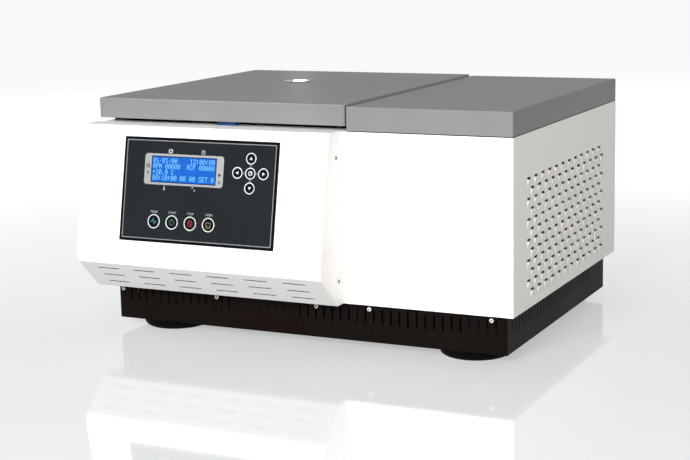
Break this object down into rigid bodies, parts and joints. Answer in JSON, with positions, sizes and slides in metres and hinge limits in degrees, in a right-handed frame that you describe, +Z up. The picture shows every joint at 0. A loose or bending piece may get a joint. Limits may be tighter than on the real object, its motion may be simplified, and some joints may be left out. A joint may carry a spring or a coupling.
{
  "type": "benchtop centrifuge",
  "caption": "Refrigerated benchtop centrifuge: slanted console with display and keys, hinged lid over a fixed-angle rotor, louvred cooling section.",
  "frame": {"origin": "on the bench, under the middle of the outline", "axes": "+X to the machine's right as seen from its front, +Y to its back, +Z up"},
  "size_m": [0.7266, 0.6258, 0.3912],
  "materials": {
    "white_paint": "satin powder coat, white",
    "grey_paint": "textured powder coat, mid grey",
    "black_paint": "satin black powder coat",
    "zinc_plate": "zinc plated",
    "stainless": "stainless, brushed",
    "bright_steel": "bright plated",
    "hinge_steel": "stainless",
    "tool_steel": "ground steel",
    "rotor_alloy": "hard anodised",
    "cold_jacket": "roll-bonded sheet",
    "rubber": "matt",
    "foam": "rigid insulating foam",
    "motor_enamel": "black enamel",
    "fin_alloy": "mill finish",
    "black_plastic": "moulded, matt",
    "blue_plastic": "moulded, blue",
    "panel_film": "printed film, charcoal",
    "bezel_metal": "satin",
    "display_blue": "lit blue display",
    "window_brass": "bronzed ring",
    "clear_glass": "clear",
    "board": "circuit board",
    "supply_case": "folded sheet",
    "copper": "copper tube"
  },
  "bodies": {
    "cabinet": {"left_panel": "white_paint", "right_panel": "white_paint", "rear_panel": "white_paint", "console_shell": "white_paint", "deck_plate": "white_paint", "top_cover": "grey_paint", "base_pan": "black_paint", "bulkhead": "zinc_plate", "chassis_plate": "zinc_plate", "chassis_posts": "zinc_plate", "motor_plate": "zinc_plate", "fan_shroud": "zinc_plate", "chamber_bowl": "stainless", "hinge_pins": "bright_steel", "case_screws": "bright_steel", "case_hinge_leaves": "hinge_steel", "guard_ring": "tool_steel", "evaporator": "cold_jacket", "rubber_feet": "rubber", "rubber_mounts": "rubber", "chamber_gasket": "rubber", "deck_seal": "rubber", "insulation": "foam", "motor_housing": "motor_enamel", "compressor": "motor_enamel", "condenser": "fin_alloy", "motor_drive": "fin_alloy", "fan_motor": "black_plastic", "mains_inlet": "black_plastic", "latch_housing": "black_plastic", "lock_motor": "black_plastic", "latch_guide": "blue_plastic", "overlay_panel": "panel_film", "lcd_bezel": "bezel_metal", "lcd_glass": "display_blue", "control_board": "board", "lcd_module": "board", "power_supply": "supply_case", "refrigerant_lines": "copper"},
    "lid": {"lid_shell": "grey_paint", "lid_liner": "stainless", "window_ring": "window_brass", "window_glass": "clear_glass", "lid_striker": "bright_steel", "lid_hinge_leaves": "hinge_steel"},
    "rotor": {"spindle": "tool_steel", "rotor_body": "rotor_alloy", "rotor_nut": "rotor_alloy"},
    "fan": {"fan_blades": "black_plastic"},
    "lock_bolt": {"latch_bolt": "bright_steel"},
    "power_rocker": {"power_rocker": "black_plastic"},
    "key_up": {"key_up": "panel_film"},
    "key_left": {"key_left": "panel_film"},
    "key_enter": {"key_enter": "panel_film"},
    "key_right": {"key_right": "panel_film"},
    "key_down": {"key_down": "panel_film"},
    "key_pulse": {"key_pulse": "panel_film"},
    "key_start": {"key_start": "panel_film"},
    "key_stop": {"key_stop": "panel_film"},
    "key_open": {"key_open": "panel_film"}
  },
  "joints": [
    {"name": "lid_hinge", "type": "hinge", "parent": "cabinet", "child": "lid", "pos_m": [-0.13805, 0.30695, 0.353], "axis": [-1, 0, 0], "range_deg": [0, 80]},
    {"name": "rotor_spin", "type": "hinge", "parent": "cabinet", "child": "rotor", "pos_m": [-0.1663, 0.10605, 0.209], "axis": [0, 0, 1], "continuous": true},
    {"name": "fan_spin", "type": "hinge", "parent": "cabinet", "child": "fan", "pos_m": [0.3037, -0.02345, 0.1305], "axis": [1, 0, 0], "continuous": true},
    {"name": "latch_slide", "type": "slide", "parent": "cabinet", "child": "lock_bolt", "axis": [0, -1, 0], "range_m": [0, 0.007]},
    {"name": "power_rocker_tilt", "type": "hinge", "parent": "cabinet", "child": "power_rocker", "pos_m": [0.2807, 0.30155, 0.142], "axis": [1, 0, 0], "range_deg": [0, 12]},
    {"name": "key_up_press", "type": "slide", "parent": "cabinet", "child": "key_up", "axis": [0, 0.9797, -0.2003], "range_m": [0, 0.0004], "stiffness_N_per_m": 3000},
    {"name": "key_left_press", "type": "slide", "parent": "cabinet", "child": "key_left", "axis": [0, 0.9797, -0.2003], "range_m": [0, 0.0004], "stiffness_N_per_m": 3000},
    {"name": "key_enter_press", "type": "slide", "parent": "cabinet", "child": "key_enter", "axis": [0, 0.9797, -0.2003], "range_m": [0, 0.0004], "stiffness_N_per_m": 3000},
    {"name": "key_right_press", "type": "slide", "parent": "cabinet", "child": "key_right", "axis": [0, 0.9797, -0.2003], "range_m": [0, 0.0004], "stiffness_N_per_m": 3000},
    {"name": "key_down_press", "type": "slide", "parent": "cabinet", "child": "key_down", "axis": [0, 0.9797, -0.2003], "range_m": [0, 0.0004], "stiffness_N_per_m": 3000},
    {"name": "key_pulse_press", "type": "slide", "parent": "cabinet", "child": "key_pulse", "axis": [0, 0.9797, -0.2003], "range_m": [0, 0.0004], "stiffness_N_per_m": 3000},
    {"name": "key_start_press", "type": "slide", "parent": "cabinet", "child": "key_start", "axis": [0, 0.9797, -0.2003], "range_m": [0, 0.0004], "stiffness_N_per_m": 3000},
    {"name": "key_stop_press", "type": "slide", "parent": "cabinet", "child": "key_stop", "axis": [0, 0.9797, -0.2003], "range_m": [0, 0.0004], "stiffness_N_per_m": 3000},
    {"name": "key_open_press", "type": "slide", "parent": "cabinet", "child": "key_open", "axis": [0, 0.9797, -0.2003], "range_m": [0, 0.0004], "stiffness_N_per_m": 3000}
  ]
}
